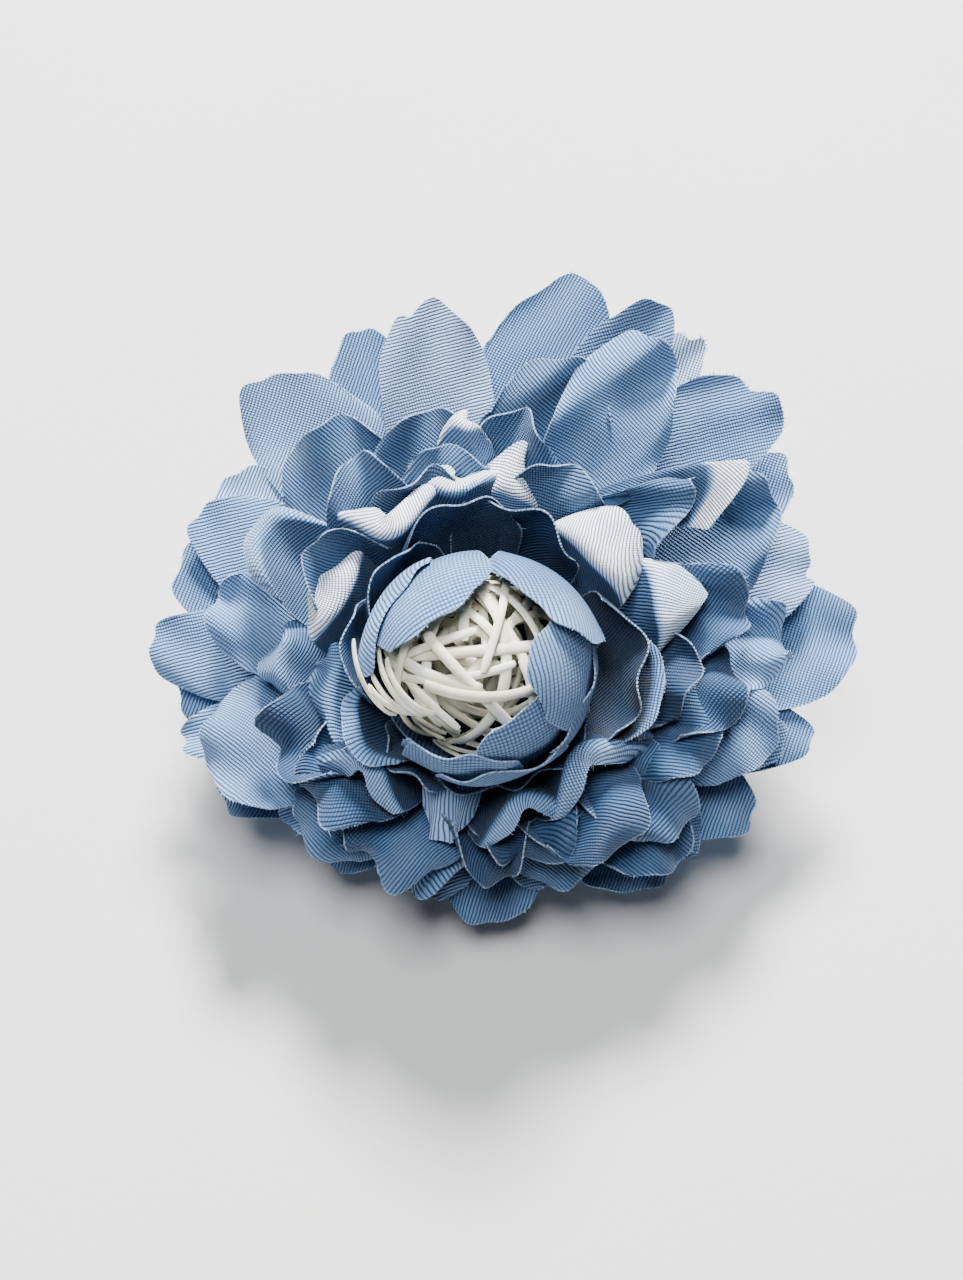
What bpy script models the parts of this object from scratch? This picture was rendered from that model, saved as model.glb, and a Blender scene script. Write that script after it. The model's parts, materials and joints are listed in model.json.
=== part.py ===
"""Fabric flower hair clip: a cloth flower head on a plastic stem, glued to a sprung two-jaw metal clip.

World frame: +Z up, the clip's lower jaw lies flat on z = 0 with its tip towards -Y and its hinge towards +Y.
The flower stands on the inclined seat of the upper jaw, so its axis leans SEAT_TILT towards -Y.
Lengths are in millimetres and are multiplied by MM where a mesh is made.
"""

import math

import bmesh
import bpy
from mathutils import Matrix, Vector

MM = 0.001
GAP = 0.3  # clearance between pieces that rest on each other

# ---- driving dimensions of the metal clip ----
SHEET = 0.8  # thickness of the spring-steel strips
SEAT_TILT = math.radians(16.0)
JAW_TIP_Y = -27.0
HANDLE_END_Y = 28.0
GRIP_END_Y = -20.0  # the jaws run side by side from the tip to here
SEAT_END_Y = 4.0  # the inclined seat runs from GRIP_END_Y to here
GRIP_HEIGHT = 2.1  # underside of the upper jaw where the seat starts
HINGE_Y = 10.0
HINGE_Z = 5.2
HINGE_ROOF_Z = 10.4  # underside of the upper jaw over the hinge
HANDLE_RISE = math.radians(14.0)
JAW_WIDTH = 9.2
TIP_WIDTH = 5.4
UPPER_JAW_WIDTH = 8.4
EAR_SHEET = 0.7
EAR_RADIUS = 2.6
UPPER_EAR_X = 3.25  # mid-plane of the upper jaw's ears
LOWER_EAR_X = 4.25  # mid-plane of the lower jaw's ears, outside the upper ones
PIN_RADIUS = 0.8
PIN_HOLE_RADIUS = 0.89
PIN_HEAD_RADIUS = 1.6
PIN_HEAD = 0.6
TOOTH_HEIGHT = 0.8
TOOTH_PITCH = 2.0
TEETH = 4

# ---- driving dimensions of the torsion spring ----
WIRE = 0.7
COIL_RADIUS = 1.95
COIL_TURNS = 3
COIL_HALF_WIDTH = 1.9
LEG_REACH_Y = 20.0
STEPS_PER_TURN = 14

# ---- driving dimensions of the flower's plastic and felt parts ----
SEAT_Y = -4.5  # where the flower's axis meets the seat
FELT_RADIUS = 15.0
FELT = 1.2
GLUE_RADIUS = 9.0
GLUE = 1.1
STEM_RADIUS = 2.0
HOLE_RADIUS = 2.4
COLLAR_RADIUS = 5.5
COLLAR = 0.8
SPACER_RADIUS = 4.6
SPACER = 0.8
CORE_HEIGHT = 29.5  # centre of the openwork ball above the seat
CORE_RADIUS = 11.4
CORE_STRUT = 1.1
TANGLE_RADIUS = 8.4
DISH_RADIUS = 5.4
DISH_HEIGHT = 17.0

# ---- the cloth layers ----
CLOTH = 0.5
CUP = 0.8  # how far a petal's sides stand above its middle at the tip

STEEL = ("clip_steel", (0.62, 0.63, 0.65, 1.0), 0.32, 1.0)
CLOTH_BLUE = ("cloth_blue", (0.22, 0.36, 0.56, 1.0), 0.85, 0.0)
CORE_CREAM = ("core_cream", (0.80, 0.78, 0.68, 1.0), 0.5, 0.0)
STEM_GREEN = ("stem_green", (0.16, 0.30, 0.14, 1.0), 0.45, 0.0)
FELT_NAVY = ("felt_navy", (0.06, 0.09, 0.16, 1.0), 0.95, 0.0)
GLUE_CLEAR = ("glue_clear", (0.75, 0.72, 0.62, 1.0), 0.25, 0.0)

# Profile of each layer, from its flat hub out to the tip, as (distance from the axis, height above the seat).
# Petals are (azimuth in degrees from +X, reach as a share of the profile). notch is where neighbours part.
LAYERS = {
    "petal_layer_1": {
        "profile": [(5, 4.3), (14, 4.9), (25, 6.3), (36, 8.8), (48, 12.0)],
        "petals": [(3, 1.0), (33, 0.93), (53, 0.97), (77, 1.0), (104, 0.94), (128, 0.92), (152, 0.84),
                   (178, 0.87), (208, 0.82), (240, 0.72), (272, 0.69), (308, 0.78), (338, 0.88)],
        "notch": 0.62,
    },
    "petal_layer_2": {
        "profile": [(5, 5.5), (14, 7.3), (25, 10.3), (36, 14.2), (46, 18.0)],
        "petals": [(18, 0.93), (45, 0.98), (66, 1.0), (96, 0.92), (142, 0.84), (168, 0.84),
                   (196, 0.82), (228, 0.75), (258, 0.70), (290, 0.72), (324, 0.82), (350, 0.88)],
        "notch": 0.6,
    },
    "petal_layer_3": {
        "profile": [(5, 7.4), (13, 10.1), (23, 14.3), (32, 19.3), (41, 24.0)],
        "petals": [(24, 0.97), (58, 1.0), (90, 0.94), (126, 0.86), (160, 0.86),
                   (200, 0.80), (240, 0.74), (278, 0.72), (315, 0.82), (350, 0.90)],
        "notch": 0.58,
    },
    "petal_layer_4": {
        "profile": [(5, 8.6), (12.6, 12.1), (20, 17.1), (27, 23.0), (34.5, 28.5)],
        "petals": [
            (16, 0.95), (56, 0.98), (98, 0.95), (138, 1.0),
            (184, 0.86), (232, 0.78), (278, 0.78), (330, 0.88),
        ],
        "notch": 0.6,
    },
    "petal_layer_5": {
        "profile": [(5, 10.5), (12.2, 14.3), (18.2, 20.7), (23.5, 27.5), (28.5, 31.7), (31.5, 32.3)],
        "petals": [
            (34, 1.0), (78, 0.94), (120, 0.92), (172, 0.88),
            (218, 0.84), (262, 0.84), (306, 0.86), (350, 0.92),
        ],
        "notch": 0.64,
    },
    "petal_layer_6": {
        "profile": [(5, 11.7), (11.2, 15.4), (16.0, 21.1), (19.0, 28.7), (22, 33.5), (25.5, 34.3)],
        "petals": [(30, 1.0), (84, 0.96), (122, 0.94), (176, 0.94), (236, 0.88), (286, 0.9), (336, 0.92)],
        "notch": 0.68,
    },
    "petal_layer_7": {
        "profile": [(5, 13.6), (10.5, 16.7), (14.6, 21.5), (16.9, 29.3), (18.6, 35.5), (20.6, 38.3)],
        "petals": [(58, 0.96), (110, 0.98), (160, 0.92), (212, 0.84), (264, 0.84), (318, 0.92)],
        "notch": 0.7,
    },
    "petal_layer_8": {
        "profile": [(5, 14.8), (9.7, 17.6), (13.5, 22.1), (15.4, 29.1), (15.8, 37.0)],
        "petals": [(28, 0.96), (96, 1.0), (168, 0.9), (236, 0.84), (304, 0.9)],
        "notch": 0.72,
    },
    "petal_layer_9": {
        "profile": [(5, 16.1), (8.9, 18.7), (12.3, 22.8), (14.0, 29.5), (13.1, 35.9), (9.8, 40.9)],
        "petals": [(48, 0.98), (132, 1.0), (196, 0.72), (262, 0.74), (340, 0.96)],
        "notch": 0.64,
    },
}
FLAT_ROWS = 5  # rows of faces up a petal of the open outer layers
CUPPED_ROWS = 7  # and of the layers that close round the ball
COLUMNS_PER_PETAL = 5
SPACERS_ABOVE_LAYER = {
    "petal_layer_2": "stem_spacer_1",
    "petal_layer_4": "stem_spacer_2",
    "petal_layer_6": "stem_spacer_3",
}


# ---------------------------------------------------------------- scene helpers

def clear_scene():
    for obj in list(bpy.data.objects):
        bpy.data.objects.remove(obj, do_unlink=True)


def new_collection(name, hidden=False):
    collection = bpy.data.collections.new(name)
    collection.hide_render = hidden
    bpy.context.scene.collection.children.link(collection)
    return collection


def material(finish):
    name, colour, roughness, metallic = finish
    found = bpy.data.materials.get(name)
    if found:
        return found
    made = bpy.data.materials.new(name)
    made.use_nodes = True
    shader = made.node_tree.nodes["Principled BSDF"]
    shader.inputs["Base Color"].default_value = colour
    shader.inputs["Roughness"].default_value = roughness
    shader.inputs["Metallic"].default_value = metallic
    made.diffuse_color = colour
    return made


def add_part(name, data, finish, parent):
    obj = bpy.data.objects.new(name, data)
    PARTS.objects.link(obj)
    obj.parent = parent
    obj.data.materials.append(material(finish))
    return obj


def add_helper(name, data, parent=None):
    """A cutter or a shape that a Boolean joins to a part; it isn't a part itself."""
    obj = bpy.data.objects.new(name, data)
    HELPERS.objects.link(obj)
    obj.parent = parent
    obj.hide_render = True
    obj.display_type = "WIRE"
    return obj


def add_empty(name, location, rotation=(0.0, 0.0, 0.0)):
    empty = bpy.data.objects.new(name, None)
    PARTS.objects.link(empty)
    empty.location = location
    empty.rotation_euler = rotation
    empty.empty_display_size = 5 * MM
    return empty


def boolean(obj, other, operation):
    modifier = obj.modifiers.new(operation.lower() + "_" + other.name, "BOOLEAN")
    modifier.operation = operation
    modifier.solver = "EXACT"
    modifier.object = other


def shade_round(mesh, sharp_degrees=40.0):
    mesh.shade_smooth()
    mesh.set_sharp_from_angle(angle=math.radians(sharp_degrees))


# ---------------------------------------------------------------- shape helpers

def turned_mesh(name, profile):
    """A profile of (radius, height) in mm, listed down its outer side, for a Screw modifier about Z."""
    mesh = bpy.data.meshes.new(name)
    points = [(radius * MM, 0.0, height * MM) for radius, height in profile]
    edges = [(i, i + 1) for i in range(len(points) - 1)]
    if profile[0][0] > 0 and profile[-1][0] > 0:
        edges.append((len(points) - 1, 0))
    mesh.from_pydata(points, edges, [])
    return mesh


def turn(obj, steps):
    screw = obj.modifiers.new("turn", "SCREW")
    screw.steps = steps
    screw.render_steps = steps
    screw.use_merge_vertices = True
    screw.merge_threshold = 1e-6
    screw.use_smooth_shade = True
    return obj


def outline_mesh(name, outline, half_thickness, to_parent):
    """A flat outline in mm, extruded both ways, as a closed mesh. to_parent turns it into place."""
    curve = bpy.data.curves.new(name, "CURVE")
    curve.dimensions = "2D"
    curve.fill_mode = "BOTH"
    curve.extrude = half_thickness * MM
    spline = curve.splines.new("POLY")
    spline.points.add(len(outline) - 1)
    for point, (x, y) in zip(spline.points, outline):
        point.co = (x * MM, y * MM, 0.0, 1.0)
    spline.use_cyclic_u = True
    temporary = bpy.data.objects.new(name, curve)
    HELPERS.objects.link(temporary)
    graph = bpy.context.evaluated_depsgraph_get()
    mesh = bpy.data.meshes.new_from_object(temporary.evaluated_get(graph))
    bpy.data.objects.remove(temporary, do_unlink=True)
    bm = bmesh.new()
    bm.from_mesh(mesh)
    bmesh.ops.remove_doubles(bm, verts=bm.verts, dist=1e-6)
    bmesh.ops.recalc_face_normals(bm, faces=bm.faces)
    bm.to_mesh(mesh)
    bm.free()
    mesh.transform(to_parent)
    return mesh


def arc(centre, radius, start, end, steps):
    """Points on a circle in mm, from the start angle to the end angle in degrees."""
    return [
        (centre[0] + radius * math.cos(math.radians(start + (end - start) * i / steps)),
         centre[1] + radius * math.sin(math.radians(start + (end - start) * i / steps)))
        for i in range(steps + 1)
    ]


def rounded_line(points, radius, steps):
    """The polyline with each inner corner replaced by a quadratic bend that starts radius before it."""
    made = [Vector(points[0])]
    for before, corner, after in zip(points, points[1:], points[2:]):
        corner = Vector(corner)
        start = corner + (Vector(before) - corner).normalized() * radius
        end = corner + (Vector(after) - corner).normalized() * radius
        for i in range(steps + 1):
            t = i / steps
            made.append(start * (1 - t) ** 2 + corner * 2 * t * (1 - t) + end * t ** 2)
    made.append(Vector(points[-1]))
    return made


def strip_outline(line, thickness):
    """A line of 2D points and the same line one thickness above it, as one closed outline."""
    above = []
    for i, point in enumerate(line):
        along = (line[min(i + 1, len(line) - 1)] - line[max(i - 1, 0)]).normalized()
        above.append(point + Vector((-along.y, along.x)) * thickness)
    return [tuple(p) for p in line] + [tuple(p) for p in reversed(above)]


def pill_outline(half_widths, y_start, y_end):
    """A plan outline with a half-round front and back; half_widths are those of the front and the back."""
    front, back = half_widths
    return (arc((0.0, y_start + front), front, 180, 360, 10)
            + arc((0.0, y_end - back), back, 0, 180, 10))


def smooth_profile(points, t):
    """The point at t from 0 to 1 on a Catmull-Rom curve through the points."""
    spans = len(points) - 1
    span = min(int(t * spans), spans - 1)
    local = t * spans - span
    p = [Vector(points[min(max(span + k, 0), spans)]) for k in (-1, 0, 1, 2)]
    return 0.5 * (2 * p[1] + (p[2] - p[0]) * local
                  + (2 * p[0] - 5 * p[1] + 4 * p[2] - p[3]) * local ** 2
                  + (3 * p[1] - p[0] - 3 * p[2] + p[3]) * local ** 3)


# Turns an outline drawn in (y, z) so that its thickness runs along world X.
SIDE_VIEW = Matrix(((0, 0, 1, 0), (1, 0, 0, 0), (0, 1, 0, 0), (0, 0, 0, 1)))


# ---------------------------------------------------------------- metal clip

def seat_height(y):
    """Underside of the upper jaw's inclined seat at y."""
    return GRIP_HEIGHT + (y - GRIP_END_Y) * math.tan(SEAT_TILT)


def upper_jaw_line():
    """Underside of the upper jaw from the upturned tip to the handle's end, in (y, z)."""
    roof_end_y = HINGE_Y + 6.0
    handle_end_z = HINGE_ROOF_Z + 0.5 + (HANDLE_END_Y - roof_end_y) * math.tan(HANDLE_RISE)
    return rounded_line(
        [(JAW_TIP_Y - 1.2, GRIP_HEIGHT + 0.8), (JAW_TIP_Y + 1.0, GRIP_HEIGHT), (GRIP_END_Y, GRIP_HEIGHT),
         (SEAT_END_Y, seat_height(SEAT_END_Y)), (roof_end_y, HINGE_ROOF_Z + 0.5),
         (HANDLE_END_Y - 1.5, handle_end_z - 0.4), (HANDLE_END_Y, handle_end_z + 0.5)],
        0.75, 3)


def upper_jaw_height(y):
    """Underside of the upper jaw at y, read from its line."""
    line = upper_jaw_line()
    for before, after in zip(line, line[1:]):
        if before.x <= y <= after.x:
            return before.y + (after.y - before.y) * (y - before.x) / (after.x - before.x)
    raise ValueError("y is off the upper jaw")


def ear_outline(base_y, front_z, back_z, up):
    """A tab with a round end on the hinge axis. up is 1 for a tab that stands up and -1 for one that hangs.

    Its base runs from base_y in front of the axis, at front_z, to base_y behind it, at back_z.
    """
    lead = math.degrees(math.atan2(EAR_RADIUS, base_y)) * 0.5
    end = arc((0.0, 0.0), EAR_RADIUS, -lead if up > 0 else lead, 180 + lead if up > 0 else -180 - lead, 12)
    return [(base_y, back_z - HINGE_Z), *end, (-base_y, front_z - HINGE_Z)]


def pin_cutter(parent):
    mesh = bpy.data.meshes.new("pin_hole")
    bm = bmesh.new()
    radius = PIN_HOLE_RADIUS * MM
    bmesh.ops.create_cone(bm, cap_ends=True, segments=20, radius1=radius, radius2=radius,
                          depth=2.5 * JAW_WIDTH * MM, matrix=Matrix.Rotation(math.pi / 2, 4, "Y"))
    bm.to_mesh(mesh)
    bm.free()
    return add_helper("pin_hole", mesh, parent)


def jaw(name, side_outline, plan_outline, ear, ear_x, parent, hole):
    """A bent strip cut to its plan outline, with two drilled ears, all measured from the hinge axis."""
    blank = outline_mesh(name, side_outline, JAW_WIDTH, SIDE_VIEW)
    obj = add_part(name, blank, STEEL, parent)
    plan = outline_mesh(name + "_plan", plan_outline, 40.0, Matrix.Identity(4))
    boolean(obj, add_helper(name + "_plan", plan, parent), "INTERSECT")
    for side in (-1, 1):
        place = Matrix.Translation((side * ear_x * MM, 0, 0)) @ SIDE_VIEW
        mesh = outline_mesh(f"{name}_ear", ear, EAR_SHEET / 2, place)
        boolean(obj, add_helper(f"{name}_ear_{'left' if side < 0 else 'right'}", mesh, parent), "UNION")
    boolean(obj, hole, "DIFFERENCE")
    return obj


def from_hinge(points):
    return [(y - HINGE_Y, z - HINGE_Z) for y, z in points]


def make_upper_jaw(hinge, hole):
    side = from_hinge(strip_outline(upper_jaw_line(), SHEET))
    half_widths = (TIP_WIDTH / 2, UPPER_JAW_WIDTH / 2)
    plan = pill_outline(half_widths, JAW_TIP_Y - 1.4 - HINGE_Y, HANDLE_END_Y + 0.3 - HINGE_Y)
    front, back = (upper_jaw_height(HINGE_Y + side_y) + SHEET / 2 for side_y in (-4.4, 4.4))
    ear = ear_outline(4.4, front, back, -1)
    return jaw("clip_upper_jaw", side, plan, ear, UPPER_EAR_X, hinge, hole)


def make_lower_jaw(hinge, hole):
    first_tooth_y = JAW_TIP_Y + 1.2
    top = [(JAW_TIP_Y, SHEET)]
    for i in range(TEETH):
        start = first_tooth_y + i * TOOTH_PITCH
        peak = (start + 0.35 * TOOTH_PITCH, SHEET + TOOTH_HEIGHT)
        top += [(start, SHEET), peak, (start + 0.8 * TOOTH_PITCH, SHEET)]
    top.append((HANDLE_END_Y, SHEET))
    side = from_hinge([(JAW_TIP_Y, 0.0), (HANDLE_END_Y, 0.0), *reversed(top)])
    half_widths = (TIP_WIDTH / 2, JAW_WIDTH / 2)
    plan = pill_outline(half_widths, JAW_TIP_Y - HINGE_Y + 0.1, HANDLE_END_Y - HINGE_Y - 0.1)
    ear = ear_outline(4.2, SHEET / 2, SHEET / 2, 1)
    return jaw("clip_lower_jaw", side, plan, ear, LOWER_EAR_X, hinge, hole)


def make_hinge_pin(hinge):
    inner = LOWER_EAR_X + EAR_SHEET / 2 + GAP
    outer = inner + PIN_HEAD
    mesh = turned_mesh("clip_hinge_pin", [
        (0, outer), (PIN_HEAD_RADIUS * 0.7, outer), (PIN_HEAD_RADIUS, inner + 0.2), (PIN_HEAD_RADIUS, inner),
        (PIN_RADIUS, inner), (PIN_RADIUS, -inner), (PIN_HEAD_RADIUS, -inner), (PIN_HEAD_RADIUS, -inner - 0.2),
        (PIN_HEAD_RADIUS * 0.7, -outer), (0, -outer)])
    pin = turn(add_part("clip_hinge_pin", mesh, STEEL, hinge), 20)
    pin.rotation_euler = (0.0, math.pi / 2, 0.0)
    return pin


def make_spring(hinge):
    """A torsion spring round the pin, one leg under the upper handle and one on the lower handle."""
    upper_rest = (LEG_REACH_Y - HINGE_Y, upper_jaw_height(LEG_REACH_Y) - GAP - WIRE / 2 - HINGE_Z)
    lower_rest = (LEG_REACH_Y - HINGE_Y, SHEET + GAP + WIRE / 2 - HINGE_Z)
    first = tangent_angle(upper_rest, 1)
    last = tangent_angle(lower_rest, -1)
    sweep = (last - first) % 360 + 360 * COIL_TURNS
    steps = round(sweep / 360 * STEPS_PER_TURN)
    points = [(-COIL_HALF_WIDTH, *upper_rest)]
    for i in range(steps + 1):
        angle = math.radians(first + sweep * i / steps)
        x = COIL_HALF_WIDTH * (2 * i / steps - 1)
        points.append((x, COIL_RADIUS * math.cos(angle), COIL_RADIUS * math.sin(angle)))
    points.append((COIL_HALF_WIDTH, *lower_rest))
    curve = bpy.data.curves.new("clip_spring", "CURVE")
    curve.dimensions = "3D"
    curve.bevel_depth = WIRE / 2 * MM
    curve.bevel_resolution = 2
    curve.use_fill_caps = True
    spline = curve.splines.new("POLY")
    spline.points.add(len(points) - 1)
    for point, place in zip(spline.points, points):
        point.co = (*(Vector(place) * MM), 1.0)
    return add_part("clip_spring", curve, STEEL, hinge)


def tangent_angle(target, side):
    """Angle in degrees where a straight leg to the target leaves the coil: side 1 over it, -1 under it."""
    distance = math.hypot(*target)
    toward = math.degrees(math.atan2(target[1], target[0]))
    return toward + side * math.degrees(math.acos(COIL_RADIUS / distance))


# ---------------------------------------------------------------- flower's plastic and felt parts

def disc(name, radius, bottom, thickness, finish, parent, bevel, segments=40):
    bpy.ops.mesh.primitive_cylinder_add(vertices=segments, radius=radius * MM, depth=thickness * MM)
    obj = bpy.context.object
    obj.name = name
    for collection in list(obj.users_collection):
        collection.objects.unlink(obj)
    PARTS.objects.link(obj)
    obj.parent = parent
    obj.location = (0.0, 0.0, (bottom + thickness / 2) * MM)
    obj.data.materials.append(material(finish))
    edges = obj.modifiers.new("soft_edge", "BEVEL")
    edges.width = bevel * MM
    edges.segments = 2
    shade_round(obj.data)
    return obj


def ring(name, radius, bottom, thickness, finish, parent):
    """A washer that slides on the stem."""
    top = bottom + thickness
    mesh = turned_mesh(name, [(HOLE_RADIUS, top), (radius - 0.3, top), (radius, top - 0.3),
                              (radius, bottom), (HOLE_RADIUS, bottom)])
    return turn(add_part(name, mesh, finish, parent), 24)


def make_jaw_liner(seat):
    """A felt strip glued inside the upper jaw, so that the hair doesn't slip."""
    under_blade = -(GAP + SHEET) - GAP
    thickness = 0.7
    length = 19.0
    bpy.ops.mesh.primitive_cube_add(size=1.0)
    obj = bpy.context.object
    obj.name = "jaw_liner"
    for collection in list(obj.users_collection):
        collection.objects.unlink(obj)
    PARTS.objects.link(obj)
    obj.data.transform(Matrix.Diagonal((4.6 * MM, length * MM, thickness * MM, 1.0)))
    obj.parent = seat
    obj.location = (0.0, -2.5 * MM, (under_blade - 0.1 - thickness / 2) * MM)
    obj.data.materials.append(material(FELT_NAVY))
    edges = obj.modifiers.new("soft_edge", "BEVEL")
    edges.width = 0.2 * MM
    edges.segments = 2
    return obj


def make_stem(seat):
    """The post that threads every layer, with the dish on top that carries the openwork ball."""
    foot = FELT + GLUE + 3 * GAP
    mesh = turned_mesh("flower_stem", [
        (0, DISH_HEIGHT + 0.3), (3.0, DISH_HEIGHT + 0.5), (DISH_RADIUS, DISH_HEIGHT + 1.1),
        (DISH_RADIUS, DISH_HEIGHT + 0.6), (3.0, DISH_HEIGHT - 0.3), (STEM_RADIUS, DISH_HEIGHT - 0.7),
        (STEM_RADIUS, foot + 0.5), (STEM_RADIUS - 0.5, foot), (0, foot)])
    return turn(add_part("flower_stem", mesh, STEM_GREEN, seat), 24)


def make_core(seat):
    """The openwork ball: an irregular cage of fused struts, and the tangle of strands inside it."""
    mesh = bpy.data.meshes.new("core_cage")
    bm = bmesh.new()
    bmesh.ops.create_icosphere(bm, subdivisions=1, radius=1.0)
    bmesh.ops.subdivide_edges(bm, edges=bm.edges, cuts=1, use_grid_fill=True)
    for i, vert in enumerate(bm.verts):
        sway = Vector((math.sin(3.1 * i), math.sin(5.3 * i + 1), math.sin(7.7 * i + 2)))
        vert.co = (vert.co + 0.13 * sway).normalized() * (CORE_RADIUS - CORE_STRUT / 2) * MM
    bm.to_mesh(mesh)
    bm.free()
    cage = add_part("core_cage", mesh, CORE_CREAM, seat)
    cage.location = (0.0, 0.0, CORE_HEIGHT * MM)
    struts = cage.modifiers.new("struts", "WIREFRAME")
    struts.thickness = CORE_STRUT * MM
    struts.use_even_offset = False
    struts.use_replace = True

    mesh = bpy.data.meshes.new("core_inner_tangle")
    bm = bmesh.new()
    bmesh.ops.create_icosphere(bm, subdivisions=2, radius=TANGLE_RADIUS * MM)
    for i, vert in enumerate(bm.verts):
        vert.co *= 1 + 0.04 * math.sin(2.3 * i)
    bm.to_mesh(mesh)
    bm.free()
    tangle = add_part("core_inner_tangle", mesh, CORE_CREAM, seat)
    tangle.location = cage.location


# ---------------------------------------------------------------- cloth layers

def petal_share(petals, notch, sector, across):
    """Share of the profile that the cloth reaches in a petal's sector; across runs from -1 to 1."""
    reach = petals[sector % len(petals)][1]
    low = notch * reach
    return low + (reach - low) * (1 - abs(across) ** 2.6) ** 0.55


def sector_columns(petals):
    """(azimuth in radians, sector, across) of each column of vertices, petal by petal round the axis."""
    columns = []
    count = len(petals)
    for i in range(count):
        middle = petals[i][0]
        before = petals[i - 1][0] - (360 if i == 0 else 0)
        after = petals[(i + 1) % count][0] + (360 if i == count - 1 else 0)
        start, end = (before + middle) / 2, (middle + after) / 2
        for k in range(COLUMNS_PER_PETAL):
            t = k / COLUMNS_PER_PETAL
            columns.append((math.radians(start + (end - start) * t), i, 2 * t - 1))
    return columns


def make_petal_layer(name, profile, petals, notch, seat):
    """One die-cut round of cloth: a flat hub and a fluted cup with its rim cut into petals, then thickened."""
    columns = sector_columns(petals)
    rows = CUPPED_ROWS if profile[-1][1] > CORE_HEIGHT else FLAT_ROWS
    mesh = bpy.data.meshes.new(name)
    bm = bmesh.new()
    bmesh.ops.create_grid(bm, x_segments=len(columns), y_segments=rows, size=0.5)
    for vert in bm.verts:
        column = round((vert.co.x + 0.5) * len(columns)) % len(columns)
        row = round((vert.co.y + 0.5) * rows)
        azimuth, sector, across = columns[column]
        out = (row - 1) / (rows - 1)
        t = max(0.0, out) * petal_share(petals, notch, sector, across)
        radius, height = smooth_profile(profile, t)
        height += CUP * across ** 2 * out ** 2 * t
        if row == 0:
            radius, height = HOLE_RADIUS, profile[0][1]
        vert.co = Vector((radius * math.cos(azimuth), radius * math.sin(azimuth), height)) * MM
    bmesh.ops.remove_doubles(bm, verts=bm.verts, dist=1e-6)
    bmesh.ops.reverse_faces(bm, faces=bm.faces)
    bm.to_mesh(mesh)
    bm.free()
    layer = add_part(name, mesh, CLOTH_BLUE, seat)
    cloth = layer.modifiers.new("cloth_thickness", "SOLIDIFY")
    cloth.thickness = CLOTH * MM
    cloth.offset = 0.0
    mesh.shade_smooth()
    return layer


def make_flower(seat):
    disc("felt_backing", FELT_RADIUS, 0.0, FELT, FELT_NAVY, seat, 0.25)
    glue_bottom = FELT + GAP
    disc("glue_pad", GLUE_RADIUS, glue_bottom, GLUE, GLUE_CLEAR, seat, 0.3, segments=28)
    ring("stem_collar", COLLAR_RADIUS, glue_bottom + GLUE + GAP, COLLAR, STEM_GREEN, seat)
    make_stem(seat)
    for name, layer in LAYERS.items():
        make_petal_layer(name, layer["profile"], layer["petals"], layer["notch"], seat)
        if name in SPACERS_ABOVE_LAYER:
            bottom = layer["profile"][0][1] + CLOTH / 2 + GAP
            ring(SPACERS_ABOVE_LAYER[name], SPACER_RADIUS, bottom, SPACER, STEM_GREEN, seat)
    make_core(seat)


def make_clip():
    hinge = add_empty("jaw_hinge", (0.0, HINGE_Y * MM, HINGE_Z * MM))
    hole = pin_cutter(hinge)
    make_upper_jaw(hinge, hole)
    make_lower_jaw(hinge, hole)
    make_hinge_pin(hinge)
    make_spring(hinge)


clear_scene()
PARTS = new_collection("flower_hair_clip")
HELPERS = new_collection("cutters", hidden=True)
make_clip()
seat_z = seat_height(SEAT_Y) + SHEET / math.cos(SEAT_TILT) + GAP + 0.05
flower_seat = add_empty("flower_seat", (0.0, SEAT_Y * MM, seat_z * MM), (SEAT_TILT, 0.0, 0.0))
make_flower(flower_seat)
make_jaw_liner(flower_seat)
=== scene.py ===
"""Looks of the fabric flower hair clip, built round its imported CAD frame.

The cloth petals are cut flat, then bent and ruffled here by a small petal model: each petal follows a
centre line up from the stem, and is cupped, waved, folded or rolled across it. Lengths are in millimetres
in the flower's own frame, whose +Z is the flower's axis and whose -Y side faces the clip's tip. They become
metres in the frame's axes when a mesh is made. Angles in the tables are in degrees.
"""

import json
import math

import bpy
import numpy as np
from mathutils import Matrix, Vector


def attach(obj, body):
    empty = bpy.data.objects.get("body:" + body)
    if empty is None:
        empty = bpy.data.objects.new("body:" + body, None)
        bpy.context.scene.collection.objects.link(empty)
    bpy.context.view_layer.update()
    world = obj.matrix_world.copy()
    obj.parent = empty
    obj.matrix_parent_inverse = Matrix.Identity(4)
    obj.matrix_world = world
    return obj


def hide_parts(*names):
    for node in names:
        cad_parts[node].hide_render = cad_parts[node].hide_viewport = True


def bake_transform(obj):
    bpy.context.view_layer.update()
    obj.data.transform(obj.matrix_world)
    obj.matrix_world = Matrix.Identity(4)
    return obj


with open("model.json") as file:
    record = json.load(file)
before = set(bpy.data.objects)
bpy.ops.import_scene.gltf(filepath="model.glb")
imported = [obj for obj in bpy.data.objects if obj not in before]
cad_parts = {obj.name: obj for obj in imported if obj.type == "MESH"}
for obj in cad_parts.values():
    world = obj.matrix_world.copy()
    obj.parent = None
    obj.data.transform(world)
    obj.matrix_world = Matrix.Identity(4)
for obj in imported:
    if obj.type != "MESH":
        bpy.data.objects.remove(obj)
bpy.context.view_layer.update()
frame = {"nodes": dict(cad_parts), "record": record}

MM = 0.001
SEAT_TILT = math.radians(16.0)  # the flower leans towards the clip's tip
SEAT_PLACE = (0.0, -4.5, 7.726)  # middle of the seat that the flower stands on
FLOWER = (Matrix.Translation(Vector(SEAT_PLACE) * MM) @ Matrix.Rotation(SEAT_TILT, 4, "X")
          @ Matrix.Scale(MM, 4))

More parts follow.
